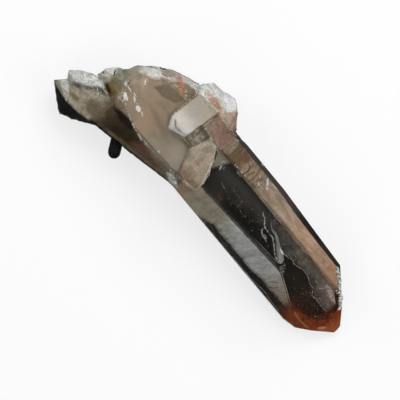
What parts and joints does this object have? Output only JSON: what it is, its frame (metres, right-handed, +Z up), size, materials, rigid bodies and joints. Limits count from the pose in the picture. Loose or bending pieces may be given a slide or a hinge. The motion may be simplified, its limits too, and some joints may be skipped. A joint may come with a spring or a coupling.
{
  "type": "lemurian quartz crystal",
  "caption": "Long smoky quartz prism with a rust-stained, slanted tip, on a broken cloudy root with frosted edges; it lies on one prism face.",
  "frame": {"origin": "under the middle of the crystal's box, on the surface it lies on", "axes": "+X along the prism to its tip, +Y towards the crest of the root, +Z up"},
  "size_m": [0.1124, 0.0434, 0.0255],
  "materials": {
    "smoky_quartz": "clear smoky quartz: glassy striated faces on the prism, frosted breaks on the root",
    "cloudy_quartz": "milky grey-brown quartz clouds and veils sealed in the crystal",
    "dark_phantom": "near-black smoky growth zone sealed in the prism",
    "iron_stain": "rust-red iron film under the tip and in the root's cracks",
    "healed_crack": "silvery healed cracks, wisps and flecks"
  },
  "bodies": {
    "root": {"crystal": "smoky_quartz"}
  },
  "joints": []
}
